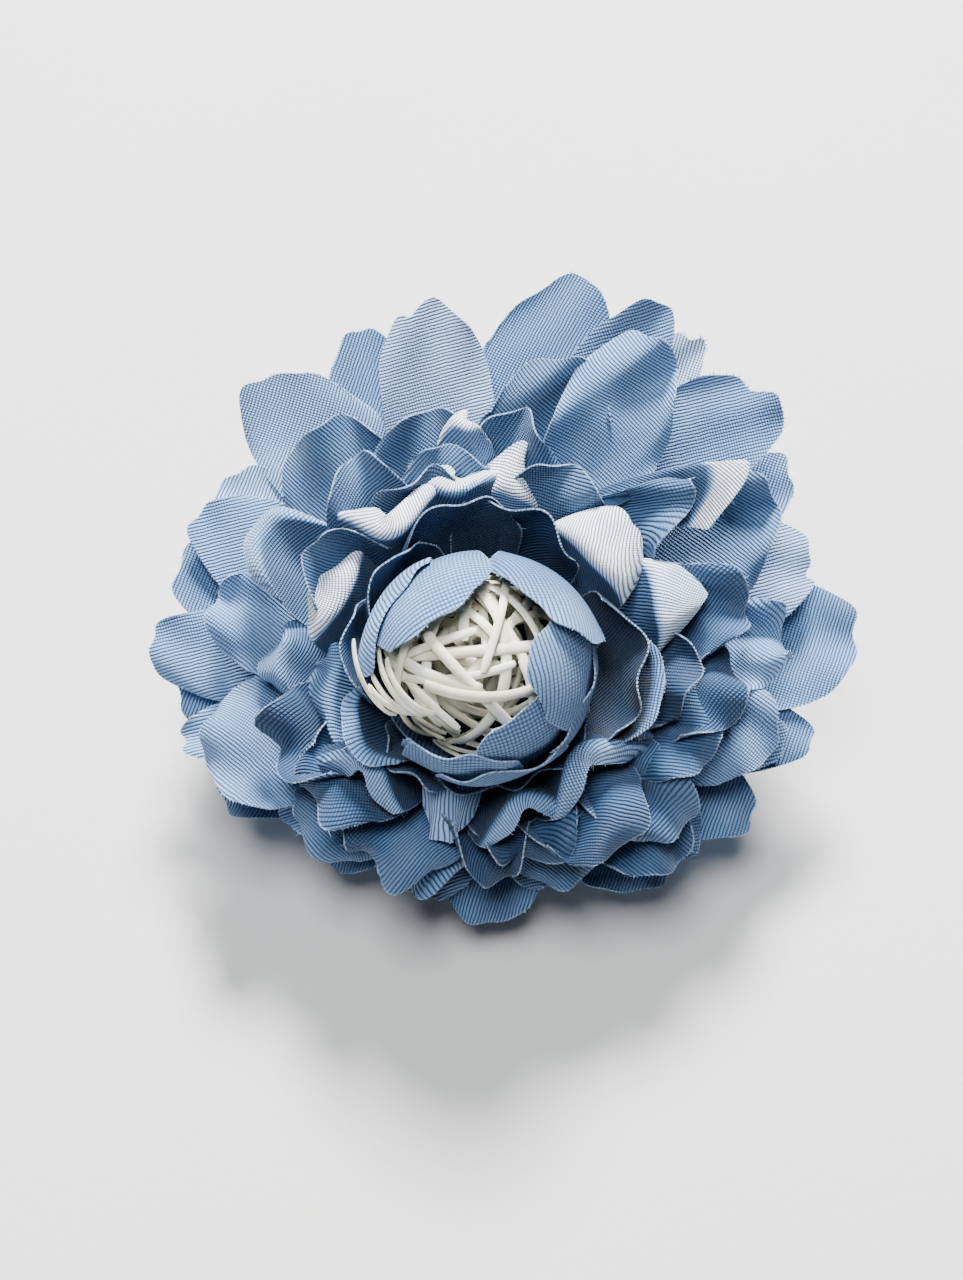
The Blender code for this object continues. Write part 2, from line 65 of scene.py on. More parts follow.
CLOTH = 0.2  # thickness of the petal cloth
THREAD = 0.41  # pitch of the weave
ROOT_RADIUS = 3.6  # where a petal leaves the round hub of its layer
HUB_RADIUS = 6.0
STEM_HOLE = 2.4  # radius of the hole in each hub
BALL_HEIGHT = 28.3  # middle of the ball of strands
HINGE = (0.0, 10.0, 5.2)
WIRE = 0.7  # thickness of the spring's wire
COIL_RADIUS, COIL_TURNS, COIL_HALF_WIDTH = 1.95, 3, 1.9
SPRING_LEG = 10.0  # how far back from the hinge the spring's legs reach
UPPER_LEG_END, LOWER_LEG_END = 6.04, -3.75  # their ends' heights above the hinge

# The cloth's colour follows a value that each petal is given: its own tone, moved by painted light and
# painted shade. It darkens towards the root with painted shade.
CLOTH_PAINTED_SHADE = (0.006, 0.018, 0.045, 1)  # value -1: painted shade, deep in the flower
CLOTH_DEEP = (0.032, 0.087, 0.200, 1)  # tint 0
CLOTH_PALE = (0.175, 0.335, 0.620, 1)  # tint 1
CLOTH_PAINTED_HIGHLIGHT = (0.84, 0.91, 1.0, 1)  # value 2: painted highlight on the rolled rims
CLOTH_GREY = (0.185, 0.295, 0.465, 1)  # faint greyer patches
CLOTH_CUT = (0.33, 0.45, 0.62, 1)  # loose fibres along the cut edge
CLOTH_GAP_WITH_SHADE = (0.20, 0.25, 0.34, 1)  # how much of the colour shows between the ribs, the weave's own gaps with painted shade in them
CLOTH_RIB_WITH_HIGHLIGHT = (1.25, 1.20, 1.13, 1)  # and on top of them, with a painted highlight


# ---------------------------------------------------------------- the petal model

FEWEST_ROWS, ROW_SPACING = 18, 0.75
ROW_POWER = 0.9  # rows lie a little closer together towards a petal's tip
STEEPEST = 125.0  # of the slopes tried for a petal with a given height


def rows_for(length):
    return max(FEWEST_ROWS, int(length / ROW_SPACING))


def row_places(rows):
    """Where the rows of a petal's grid lie, from 0 at the root to 1 at the tip."""
    return np.linspace(0, 1, rows) ** ROW_POWER


def smooth(t):
    t = np.clip(t, 0.0, 1.0)
    return t * t * (3 - 2 * t)


def unit_line(spec, top, steps=200):
    """Slope, outward run and rise along a petal's middle, for a petal one unit long."""
    t = np.linspace(0, 1, steps)
    slope = spec["rise"] + (top - spec["rise"]) * np.clip(t / spec["roll_at"], 0, 1)
    slope = slope + (spec["tip"] - top) * smooth((t - spec["roll_at"]) / (1.0001 - spec["roll_at"]))
    slope = np.radians(slope)
    middle = (slope[1:] + slope[:-1]) / 2
    out = np.concatenate([[0], np.cumsum(np.cos(middle))]) / (steps - 1)
    up = np.concatenate([[0], np.cumsum(np.sin(middle))]) / (steps - 1)
    return t, slope, out, up


def centre_line(spec):
    """Arc length, distance from the axis, height and slope along a petal's middle.

    A petal with a height has its steepest slope solved, so that it reaches that far out and that high.
    """
    low, high = spec["rise"], STEEPEST
    top = spec["top"]
    halvings = 18 if spec["height"] else 0
    for _ in range(halvings):
        top = (low + high) / 2
        t, slope, out, up = unit_line(spec, top)
        crest = spec["hub"] + up.max() * (spec["reach"] - ROOT_RADIUS) / out.max()
        low, high = (top, high) if crest < spec["height"] else (low, top)
    t, slope, out, up = unit_line(spec, top)
    length = spec["length"] or (spec["reach"] - ROOT_RADIUS) / out.max()
    return t * length, ROOT_RADIUS + out * length, spec["hub"] + up * length, slope, length


def half_width(v, spec):
    """Share of the full half width at v along the petal: widest at belly, narrower at root and tip."""
    low, belly, drop = spec["root_width"], spec["belly"], spec["drop"]
    before = low + (1 - low) * np.sin(math.pi / 2 * np.clip(v / belly, 0, 1)) ** 1.1
    after = 1 - drop * np.clip((v - belly) / (1 - belly), 0, 1) ** 2
    return np.where(v < belly, before, after)


def petal_seed(spec):
    """A number that makes each petal's small waves its own."""
    return spec["az"] * 0.7 + spec["hub"]


def flat_cut(spec, u, v):
    """The petal as cut: each point's place along it, as a share of its length, and the half width there."""
    seed = petal_seed(spec)
    corner = np.abs(u) ** spec["corner"]
    wobble = 0.010 * np.sin(4.3 * u + seed) + 0.007 * np.sin(9.1 * u + 2.3 * seed)
    notch = spec["notch"] * np.exp(-((u - spec["notch_at"]) / 0.16) ** 2)
    late = min(5.0, 0.85 / (spec["rounding"] + spec["notch"] + 0.02) - 1)
    cut_back = (spec["rounding"] * corner + notch + wobble * v ** 2) * v ** late
    along = v * (1 - cut_back + spec["skew"] * u * v ** 4)
    half = spec["width"] / 2 * half_width(v, spec) * (1 + 0.03 * np.sin(7 * v + seed) * v)
    return np.clip(along, 0, 1.15), half


def section_slope(spec, u, v):
    """Slope across the petal at each point: its cup, its wave, its broad fold and its sharp crease."""
    ramp = v ** 1.5
    wave = np.sin(math.pi * spec["waves"] * u + math.radians(spec["phase"]))
    arch = np.sin(math.pi * np.clip(v, 0, 1)) ** 0.7
    angle = math.radians(spec["cup"]) * u * (spec["cup_root"] + (1 - spec["cup_root"]) * v)
    angle = angle + math.radians(spec["wave"]) * ramp * wave
    angle = angle + math.radians(spec["fold"]) * v * np.tanh(u / 0.28)
    return angle + math.radians(spec["crease"]) * np.tanh(u / 0.07) * arch


def section_shape(angle, side):
    """Sideways and upward offsets of each cross-section, summed from its slope outwards from the middle."""
    step = np.diff(side, axis=1)
    mid_angle = (angle[:, 1:] + angle[:, :-1]) / 2
    zero = np.zeros((len(side), 1))
    lateral = np.concatenate([zero, np.cumsum(np.cos(mid_angle) * step, axis=1)], axis=1)
    normal = np.concatenate([zero, np.cumsum(np.sin(mid_angle) * step, axis=1)], axis=1)
    centre = (side.shape[1] - 1) // 2
    return lateral - lateral[:, centre:centre + 1], normal - normal[:, centre:centre + 1]


def petal_grid(spec):
    """One petal as a grid of points, with flat-cut coordinates and the distance to the cut edge."""
    s, rho, height, slope, length = centre_line(spec)
    u = np.linspace(-1, 1, PETAL_COLUMNS)[None, :]
    v = row_places(rows_for(length))[:, None]
    seed = petal_seed(spec)
    along, half = flat_cut(spec, u, v)
    here, side = along * length, u * half

    lateral, normal = section_shape(section_slope(spec, u, v), side)
    buckle = spec["ripple"] * v * np.sin(here / 2.7 + 2.1 * u + seed)
    normal = normal + buckle * (0.4 + 0.6 * np.abs(u))
    edge_share = np.maximum(np.abs(u) ** 3, v ** 6) * v
    normal = normal + spec["frill"] * edge_share * np.sin(1.7 * math.pi * u + here / 2.6 + 3 * seed)
    twist = math.radians(spec["twist"]) * v ** 1.5
    lateral, normal = (lateral * np.cos(twist) - normal * np.sin(twist),
                       lateral * np.sin(twist) + normal * np.cos(twist))

    past = np.maximum(here - length, 0)
    rho_here = np.interp(here, s, rho) + past * math.cos(slope[-1])
    height_here = np.interp(here, s, height) + past * math.sin(slope[-1])
    slope_here = np.interp(here, s, slope)
    out = rho_here - normal * np.sin(slope_here)
    up = height_here + normal * np.cos(slope_here)
    azimuth = math.radians(spec["az"]) + math.radians(spec["bend"]) * v ** 1.6
    x = out * np.cos(azimuth) - lateral * np.sin(azimuth)
    y = out * np.sin(azimuth) + lateral * np.cos(azimuth)
    points = np.stack([x, y, up], axis=-1)
    if spec["rim"]:
        points = roll_rim(points, spec, length)

    grain = math.radians(spec["grain"]) + math.radians(spec["az"])
    flat_out, flat_side = ROOT_RADIUS + here, side + 0 * here
    flat = np.stack([flat_out * math.cos(grain) - flat_side * math.sin(grain),
                     flat_out * math.sin(grain) + flat_side * math.cos(grain)], axis=-1)
    edge = np.minimum((1 - np.abs(u)) * half + 0 * v, (1 - v) * length + 0 * u)
    return points, flat, edge, length


def roll_rim(points, spec, length):
    """Rolls the last few millimetres of a petal over towards its outer side."""
    rows = len(points)
    start = int(np.searchsorted(row_places(rows), 1 - spec["rim_width"] / length))
    start = min(max(start, 2), rows - 2)
    outer = grid_normals(points)[start]
    along = points[start] - points[start - 2]
    along = along / np.linalg.norm(along, axis=-1, keepdims=True)
    steps = np.linalg.norm(np.diff(points[start:], axis=0), axis=-1)
    run = np.cumsum(steps, axis=0)
    seed = spec["az"]
    u = np.linspace(-1, 1, points.shape[1])
    uneven = 0.18 * np.sin(3.1 * u + seed) + 0.06 * np.sin(8.3 * u + 2 * seed)
    most = math.radians(spec["rim"]) * (1 + spec["rim_vary"] * uneven)
    angle = most[None, :] * smooth(0.15 + 0.85 * run / spec["rim_bend"])
    move = (np.cos(angle)[..., None] * along + np.sin(angle)[..., None] * outer) * steps[..., None]
    rolled = points.copy()
    rolled[start + 1:] = points[start] + np.cumsum(move, axis=0)
    return rolled


def grid_normals(points):
    along = np.gradient(points, axis=0)
    across = np.gradient(points, axis=1)
    normal = np.cross(across, along)
    return normal / np.maximum(np.linalg.norm(normal, axis=-1, keepdims=True), 1e-9)


class ClothMesh:
    """Collects the closed petals of one layer, with their flat-cut and edge coordinates."""

    def __init__(self, weave_scale=1.0):
        self.points, self.faces, self.flat, self.rim = [], [], [], []
        self.weave_scale = weave_scale
        self.count = 0

    def add(self, points, faces, flat, rim):
        self.faces.extend(tuple(int(i) + self.count for i in face) for face in faces)
        self.points.append(points)
        self.flat.append(flat)
        self.rim.append(rim)
        self.count += len(points)

    def add_sheet(self, points, flat, edge, tint):
        """A grid of points thickened into a closed piece of cloth."""
        rows, columns = points.shape[:2]
        normal = grid_normals(points)
        size = rows * columns
        above, below = points + normal * CLOTH / 2, points - normal * CLOTH / 2
        both = np.concatenate([above.reshape(-1, 3), below.reshape(-1, 3)])
        index = np.arange(size).reshape(rows, columns)
        a, b = index[:-1, :-1].ravel(), index[:-1, 1:].ravel()
        c, d = index[1:, 1:].ravel(), index[1:, :-1].ravel()
        faces = np.concatenate([np.stack([a, b, c, d], 1), np.stack([d, c, b, a], 1) + size])
        border = np.concatenate([index[0, :-1], index[:-1, -1], index[-1, :0:-1], index[:0:-1, 0]])
        after = np.roll(border, -1)
        rim_faces = np.stack([after, border, border + size, after + size], 1)
        faces = np.concatenate([faces, rim_faces])
        rim = np.stack([(tint + 0 * edge).ravel(), edge.ravel() / 10], 1)
        self.add(both, faces, np.tile(flat.reshape(-1, 2), (2, 1)), np.tile(rim, (2, 1)))
        return normal

    def add_fray(self, points, normal, flat, tint, amount, random):
        """Thread ends along the cut edge: one small spike for each thread."""
        rows, columns = points.shape[:2]
        first = rows // 4
        border = ([(i, columns - 1) for i in range(first, rows)]
                  + [(rows - 1, j) for j in range(columns - 2, -1, -1)]
                  + [(i, 0) for i in range(rows - 2, first - 1, -1)])
        rows_of, columns_of = np.array(border).T
        line, up, cut = points[rows_of, columns_of], normal[rows_of, columns_of], flat[rows_of, columns_of]
        inner_rows = rows_of - (rows_of == rows - 1)
        inner_columns = columns_of + (columns_of == 0) - (columns_of == columns - 1)
        inward = points[inner_rows, inner_columns] - line
        gaps = np.linalg.norm(np.diff(line, axis=0), axis=1)
        run = np.concatenate([[0], np.cumsum(gaps)])
        spots = np.arange(THREAD / 2, run[-1], THREAD)
        spots = spots + random.uniform(-0.08, 0.08, len(spots))
        base, up, inward, cut = (
            np.stack([np.interp(spots, run, values[:, k]) for k in range(values.shape[1])], 1)
            for values in (line, up, inward, cut))
        along = np.gradient(base, axis=0)
        along /= np.maximum(np.linalg.norm(along, axis=1, keepdims=True), 1e-9)
        out = np.cross(along, up)
        out *= -np.sign(np.sum(out * inward, axis=1, keepdims=True))
        each = (len(spots), 1)
        out = out + 0.5 * along * random.normal(0, 0.5, each) + up * random.normal(0, 0.22, each)
        reach = amount * np.abs(random.normal(0.10, 0.10, each))
        loose = random.random(each) < 0.012 * amount
        reach = reach + loose * random.uniform(0.3, 0.9, each)
        wide = np.where(loose, 0.05, 0.15)
        root = base - out * 0.12
        corners = np.stack([root + along * wide - up * 0.07, root - along * wide - up * 0.07,
                            root + up * 0.09, base + out * reach], 1)
        start = 4 * np.arange(len(spots))[:, None]
        sides = (0, 1, 2), (0, 3, 1), (1, 3, 2), (2, 3, 0)
        faces = np.concatenate([start + np.array(side) for side in sides])
        rim = np.tile([tint, 0.0], (4 * len(spots), 1))
        self.add(corners.reshape(-1, 3), faces, np.repeat(cut, 4, axis=0), rim)

    def add_hub(self, height, tint):
        """The round middle of the layer, with the hole for the stem."""
        turns, rings = 40, 4
        angle = np.linspace(0, 2 * math.pi, turns + 1)[None, :]
        radius = np.linspace(STEM_HOLE, HUB_RADIUS, rings)[:, None]
        points = np.stack([radius * np.cos(angle), radius * np.sin(angle), height + 0 * radius * angle], -1)
        self.add_sheet(points, points[..., :2], 5 + 0 * radius * angle, tint)

    def make(self, name, material):
        """The layer as an object, with the flat cut and the rim values, the tone with its painted light and
        shade and the distance to the edge, as its UV maps.
        """
        obj = new_piece(name, np.concatenate(self.points), self.faces, material)
        mesh = obj.data
        corner_vertex = np.zeros(len(mesh.loops), np.int32)
        mesh.loops.foreach_get("vertex_index", corner_vertex)
        maps = ("cloth", self.flat, MM / self.weave_scale), ("rim", self.rim, 1.0)
        for map_name, values, scale in maps:
            uv_map = mesh.uv_layers.new(name=map_name)
            values = np.concatenate(values)[corner_vertex] * scale
            uv_map.data.foreach_set("uv", values.astype(np.float32).ravel())
        return obj


# ---------------------------------------------------------------- resting petals on each other

EMPTY = -50.0  # height of a cell that nothing lies in
MOST_LIFT = 6.0


def blurred(grid):
    """The grid with each value shared out with its four neighbours."""
    padded = np.pad(grid, 1, mode="edge")
    before, after = padded[:-2, 1:-1], padded[2:, 1:-1]
    left, right = padded[1:-1, :-2], padded[1:-1, 2:]
    return (before + after + left + right + padded[1:-1, 1:-1]) / 5


class Stack:
    """A height map of the petals placed so far, so that the next petal can be laid over them."""

    def __init__(self, cell=0.5, half=62.0):
        self.cell, self.half = cell, half
        count = int(2 * half / cell)
        self.top = np.full((count, count), EMPTY)

    def cells(self, points):
        index = ((points[..., :2] + self.half) / self.cell).astype(int)
        index = np.clip(index, 0, len(self.top) - 1)
        return index[..., 0], index[..., 1]

    def lift(self, points, gap):
        """How far each point of a petal must rise to clear what lies under it, smoothed over the petal."""
        i, j = self.cells(points)
        need = self.top[i, j] + gap - points[..., 2]
        need = np.where(self.top[i, j] == EMPTY, 0, np.clip(need, 0, MOST_LIFT))
        fade = smooth(np.linspace(0, 1, len(points)) / 0.35)[:, None]
        need = need * fade
        lift = need.copy()
        for _ in range(30):
            lift = np.maximum(need, blurred(lift))
        for _ in range(12):
            lift = blurred(lift)
        return lift

    def add(self, points):
        for a in np.linspace(0, 1, 3, endpoint=False):
            for b in np.linspace(0, 1, 3, endpoint=False):
                p = ((1 - a) * (1 - b) * points[:-1, :-1] + a * (1 - b) * points[1:, :-1]
                     + (1 - a) * b * points[:-1, 1:] + a * b * points[1:, 1:])
                i, j = self.cells(p)
                np.maximum.at(self.top, (i, j), p[..., 2])


# ---------------------------------------------------------------- petal tables

PETAL_COLUMNS = 25
PETAL = dict(
    # the centre line: how far out and up it goes, its slopes at the root, at its steepest and at the tip
    reach=0.0, height=0.0, length=0.0, rise=8.0, top=18.0, tip=22.0, roll_at=0.8,
    # the flat cut: its width and outline, and how the threads lie in it
    width=13.0, root_width=0.32, belly=0.74, drop=0.10, rounding=0.18, corner=2.9,
    notch=0.0, notch_at=0.0, skew=0.0, grain=0.0, fray=1.0,
    # the cross-section
    cup=12.0, cup_root=0.3, wave=0.0, waves=2.0, phase=0.0, crease=0.0, fold=0.0,
    # the petal as a whole
    twist=0.0, bend=0.0, ripple=0.15, frill=0.0,
    # the rolled rim, in degrees and millimetres, and how strong the painted highlight on it is
    rim=0.0, rim_width=3.0, rim_bend=2.0, rim_vary=1.0, glow=0.0,
    # the tone with its painted light, and how much darker and how far up the painted shade at the root
    # reaches
    tint=None, shade=0.8, shade_to=0.6,
)


def petal(az, reach, width, **changes):
    return {**PETAL, "az": az, "reach": reach, "width": width, **changes}


def bud_petal(az, polar, width, radius, curl=0.0, **changes):
    """A petal that hugs a ball of the given radius up to a polar angle from the flower's axis."""
    rise = 15.0
    top = 180.0 - polar
    return petal(az, 0.0, width, rise=rise, top=top, tip=top + curl, roll_at=1.0,
                 length=radius * math.radians(top - rise), cup=math.degrees(width / 2 / radius),
                 cup_root=0.9, **changes)


def layer(hub, defaults, petals):
    """The petals of one round, with its hub's height and its own defaults where a petal says nothing."""
    return [{**p, "hub": hub, **{k: v for k, v in defaults.items() if p[k] == PETAL[k]}} for p in petals]


# In these tables a tone below 0, as on the walls round the bud, is painted shade, and a rolled rim's
# highlight is painted.
LAYERS = {
    1: layer(4.3, dict(rise=4, top=15, tip=16, cup=10, grain=20), [
        petal(157.5, 40.5, 16.5, cup=30, top=20, tip=6, tint=0.4),
        petal(183.0, 37.5, 12.0, tip=-6),
        petal(205.0, 35.0, 13.0, tip=-12, wave=20),
        petal(229.0, 29.5, 12.0, tip=-10, wave=30),
        petal(273.0, 30.0, 14.0, tip=-12, wave=25),
        petal(312.0, 34.0, 14.0, tip=-5, corner=1.5, wave=15),
        petal(334.0, 38.0, 13.0, tip=-4, wave=12),
        petal(350.0, 42.0, 12.0, tip=4),
        petal(6.5, 47.5, 16.0, top=17, tip=12, rounding=0.12, cup=14, tint=0.75, belly=0.8),
        petal(34.6, 47.5, 13.5, tint=0.8),
        petal(57.5, 51.5, 9.0, rounding=0.12, fray=2.5),
        petal(83.0, 52.0, 18.5, bend=-5.0, corner=2.8, rounding=0.19, skew=-0.07, tip=20, belly=0.8,
              tint=0.55),
        petal(108.5, 47.0, 12.5, rounding=0.12, tint=0.45),
        petal(141.0, 41.0, 12.0, top=18),
        petal(122.0, 47.0, 16.0, rounding=0.17, skew=0.06, cup=-8, bend=2.5, belly=0.8, tint=0.8),
    ]),
    2: layer(5.5, dict(rise=8, top=19, tip=18, cup=12, grain=75, shade=0.9, shade_to=0.7), [
        petal(149.0, 40.5, 14.0, cup=-12),
        petal(174.0, 41.0, 11.5, tip=4, cup=-10),
        petal(192.0, 37.5, 8.5, tip=0),
        petal(214.0, 29.5, 13.0, tip=-15, wave=25),
        petal(254.0, 27.5, 13.0, tip=-20, wave=25, phase=90),
        petal(291.0, 27.0, 13.0, tip=-15, wave=30),
        petal(323.0, 34.0, 13.0, tip=-8, wave=25),
        petal(348.0, 38.5, 13.0, tip=2, cup=-14),
        petal(21.0, 44.5, 13.5, tip=10, notch=0.05, notch_at=-0.4, rounding=0.14),
        petal(64.0, 52.0, 14.0, corner=2.2, rounding=0.2, tip=24, tint=0.35),
        petal(48.0, 50.0, 14.5, rounding=0.09, corner=3.4, skew=-0.04, fray=2.0, tint=0.5),
        petal(98.0, 47.5, 14.5, rounding=0.13, corner=3.2, cup=16, belly=0.8, tint=0.9, notch=0.03,
              notch_at=0.3),
    ]),
    3: layer(7.4, dict(rise=13, top=27, tip=20, cup=18, grain=130, shade=1.0, shade_to=0.7), [
        petal(163.0, 34.0, 14.0, tip=0, cup=-16),
        petal(195.0, 35.0, 17.5, height=18.5, tip=-25, cup=-32, tint=0.95),
        petal(227.0, 29.5, 15.0, height=14.5, tip=-25, cup=-60, tint=0.9),
        petal(251.0, 27.0, 14.0, height=14.5, tip=-30, wave=45, waves=1.2, phase=60),
        petal(294.0, 27.5, 15.0, height=15.5, tip=-25, cup=-48, wave=20, tint=0.6),
        petal(318.0, 33.5, 15.0, height=16.0, tip=-10, cup=16, wave=15, tint=0.5),
        petal(348.0, 37.0, 16.0, height=18.5, tip=-15, cup=-22, tint=1.0),
        petal(9.0, 38.5, 13.0, tip=-15, wave=20, roll_at=0.85, rim=40, rim_width=3.0),
        petal(30.0, 42.0, 17.5, cup=20, tint=0.3, belly=0.8),
        petal(79.0, 40.5, 18.0, cup=26, wave=16, tint=0.2, rounding=0.22, bend=-6),
        petal(60.0, 46.0, 15.5, crease=24, tip=24, tint=0.8, belly=0.8, frill=0.8),
        petal(124.5, 36.5, 17.0, cup=16, tip=20, tint=0.15),
        petal(100.0, 33.5, 18.0, cup=28, tip=30, tint=0.1, wave=10),
    ]),
    4: layer(8.6, dict(rise=20, tip=10, cup=24, wave=20, waves=1.2, grain=40, shade=1.0, shade_to=0.7), [
        petal(150.0, 33.0, 13.0, height=23.0, tip=10, phase=30, tint=0.2, rim=80, rim_width=2.8, glow=1.0,
              rounding=0.24),
        petal(174.0, 26.5, 11.0, height=23.5, tip=40, tint=0.5, cup=-30, rim=120, rim_width=4.5, glow=0.5),
        petal(204.0, 26.5, 15.0, height=21.0, tip=-45, cup=55, tint=0.1),
        petal(246.0, 26.5, 18.0, height=19.5, tip=-50, cup=-12, wave=42, phase=70, tint=0.8),
        petal(272.0, 25.0, 15.0, height=17.5, tip=-25, cup=52, tint=0.3),
        petal(325.0, 31.0, 15.0, height=20.0, tip=-25, cup=0, crease=34, tint=0.6),
        petal(357.0, 32.0, 15.0, height=23.5, tip=-15, cup=30, tint=0.1),
        petal(14.0, 33.5, 14.0, height=24.5, tip=-20, wave=30, phase=80, tint=0.3),
        petal(63.0, 34.0, 11.0, height=26.4, wave=6, cup=20, tip=-4, tint=0.1, bend=-24, rounding=0.30,
              corner=2.2),
        petal(77.0, 31.5, 15.0, height=25.0, wave=18, tip=30, cup=30, tint=0.1),
        petal(91.0, 31.5, 8.0, height=27.0, tip=40, cup=-25, rim=95, rim_width=3.4, tint=0.4, glow=1.6),
        petal(102.0, 27.0, 15.0, height=25.5, tip=20, wave=15, tint=0.2),
        petal(122.0, 29.5, 15.0, height=25.0, tip=15, wave=20, tint=0.2),
    ]),
    5: layer(10.5, dict(rise=24, tip=10, roll_at=0.8, cup=24, wave=15, waves=1.0, grain=95), [
        petal(146.0, 24.5, 14.0, height=27.5, tip=30, cup=35, tint=0.1),
        petal(187.0, 22.5, 15.0, height=25.0, tip=0, rim=130, rim_width=7.0, cup=-15, tint=0.5, glow=0.6),
        petal(219.0, 25.5, 16.0, height=22.0, tip=-35, wave=50, phase=90, tint=0.3),
        petal(289.0, 23.5, 16.0, height=20.5, tip=-50, cup=58, tint=0.35),
        petal(308.0, 27.5, 17.0, height=22.5, tip=-40, cup=5, wave=48, phase=90, tint=0.35),
        petal(345.0, 30.0, 14.0, height=23.0, tip=-40, cup=22, tint=0.3),
        petal(0.0, 26.0, 14.0, height=27.0, tip=20, cup=40, tint=-0.3),
        petal(19.0, 24.6, 12.5, height=33.5, tip=80, cup=-12, wave=0.1, rim=84, rim_width=7.0, rim_bend=2.6,
              rim_vary=0.1, tint=-0.2, glow=2.0, rounding=0.24, corner=3.6, ripple=0.0),
        petal(66.0, 26.0, 14.0, height=28.0, tip=35, tint=0.15),
        petal(66.0, 39.6, 8.0, height=29.3, tip=4, cup=4, wave=0.1, bend=-27, tint=0.0, rounding=0.28,
              corner=2.0, root_width=0.4, belly=0.86, skew=-0.08, rim_width=3.8, glow=2.4, ripple=0.0),
        petal(80.0, 24.5, 11.5, height=30.5, tip=70, cup=-30, rim=72, rim_width=7.0, tint=0.3, glow=1.7,
              rounding=0.3, corner=2.0),
        petal(112.0, 23.5, 14.0, height=28.5, tip=50, tint=-0.2),
    ]),
    6: layer(11.7, dict(rise=22, tip=85, cup=-60, wave=0, grain=10, roll_at=0.85, rim=105, rim_width=3.6,
                        tint=-0.3, glow=2.1), [
        petal(43.0, 19.4, 13.0, height=34.5, cup=-14, wave=0.1, rim=82, rim_width=7.6, tint=-0.5, glow=2.3,
              rim_bend=2.6, rim_vary=0.1, rounding=0.24, corner=3.8, ripple=0.0),
        petal(97.0, 21.5, 15.0, height=31.0, cup=-20, fold=-36),
        petal(124.0, 18.4, 21.0, height=32.0, cup=-4, fold=-58, twist=-24, rim_width=3.3, rim_vary=0.1,
              rim=92),
        petal(151.0, 18.8, 15.0, height=31.0, cup=-52, rim_width=5.6, rim_vary=0.3, rim=95),
        petal(217.0, 17.2, 18.0, height=27.5, cup=-8, fold=-50, twist=34, rim=92, rim_width=3.2, glow=1.7),
        petal(254.0, 14.8, 7.6, height=29.5, cup=-16, bend=6, rim=88, rim_width=8.5, rim_bend=2.4,
              rim_vary=0.1, glow=1.9, rounding=0.24, corner=2.6),
        petal(289.0, 16.2, 18.0, height=27.0, cup=-14, fold=-46, rim=92, rim_width=2.4, glow=1.7),
        petal(321.0, 15.4, 20.0, height=28.5, cup=-6, fold=-52, twist=-12, rim=92, rim_width=3.4,
              glow=1.75),
        petal(338.0, 21.0, 9.0, height=26.0, cup=-60, rim=130, rim_width=3.6, glow=1.8),
        petal(353.0, 21.0, 15.0, height=28.0, cup=30, rim=60, rim_width=1.8, tint=-0.8, glow=1.4),
    ]),
    7: layer(13.6, dict(rise=18, tip=85, cup=36, cup_root=0.9, wave=8, grain=60, roll_at=0.9), [
        petal(72.0, 19.0, 17.0, height=31.5, tip=90, tint=-0.7),
        petal(100.0, 18.6, 16.0, height=32.0, tint=-0.6, twist=8),
        petal(134.0, 15.9, 14.0, height=30.0, tint=-0.5),
        petal(170.0, 16.2, 14.0, height=29.0, tip=75, tint=-0.3),
        petal(210.0, 16.8, 12.0, height=28.0, tip=50, tint=-0.5, cup=50, rim=70, rim_width=2.4,
              rim_bend=1.2, glow=1.2),
        petal(238.0, 15.2, 13.0, height=25.0, tint=-0.1),
        petal(268.0, 14.9, 15.0, height=23.5, tint=0.3),
        petal(308.0, 15.2, 17.0, height=25.0, tint=0.1),
        petal(2.0, 19.4, 19.0, height=28.5, tint=-0.9),
    ]),
    8: layer(14.8, dict(grain=100, root_width=0.5, rounding=0.06, corner=3.0, shade=1.3, shade_to=1.0), [
        bud_petal(43.0, 37.0, 17.0, 14.2, curl=-18, tint=0.5, rounding=0.12, twist=12, frill=0.25),
        bud_petal(152.0, 56.0, 17.0, 13.9, curl=-8, tint=0.9, frill=0.3),
        bud_petal(262.0, 60.0, 15.0, 13.5, tint=0.5, frill=0.4),
        bud_petal(284.0, 76.0, 17.0, 14.3, tint=0.3, frill=0.5),
        bud_petal(338.0, 72.0, 15.0, 14.0, tint=0.2, frill=0.4),
    ]),
    9: layer(16.1, dict(grain=35, root_width=0.5, rounding=0.07, corner=2.6, shade=1.3, shade_to=1.0), [
        bud_petal(353.0, 25.0, 15.0, 13.3, rounding=0.16, corner=2.0, tint=0.5),
        bud_petal(129.0, 24.0, 18.0, 12.9, tint=0.8, rounding=0.10),
        bud_petal(312.0, 38.0, 17.0, 12.6, tint=0.5, frill=0.2),
        bud_petal(215.0, 110.0, 13.0, 12.2, tint=0.4),
        bud_petal(258.0, 70.0, 14.0, 12.6, tint=0.5, frill=0.3),
    ]),
}


# ---------------------------------------------------------------- materials

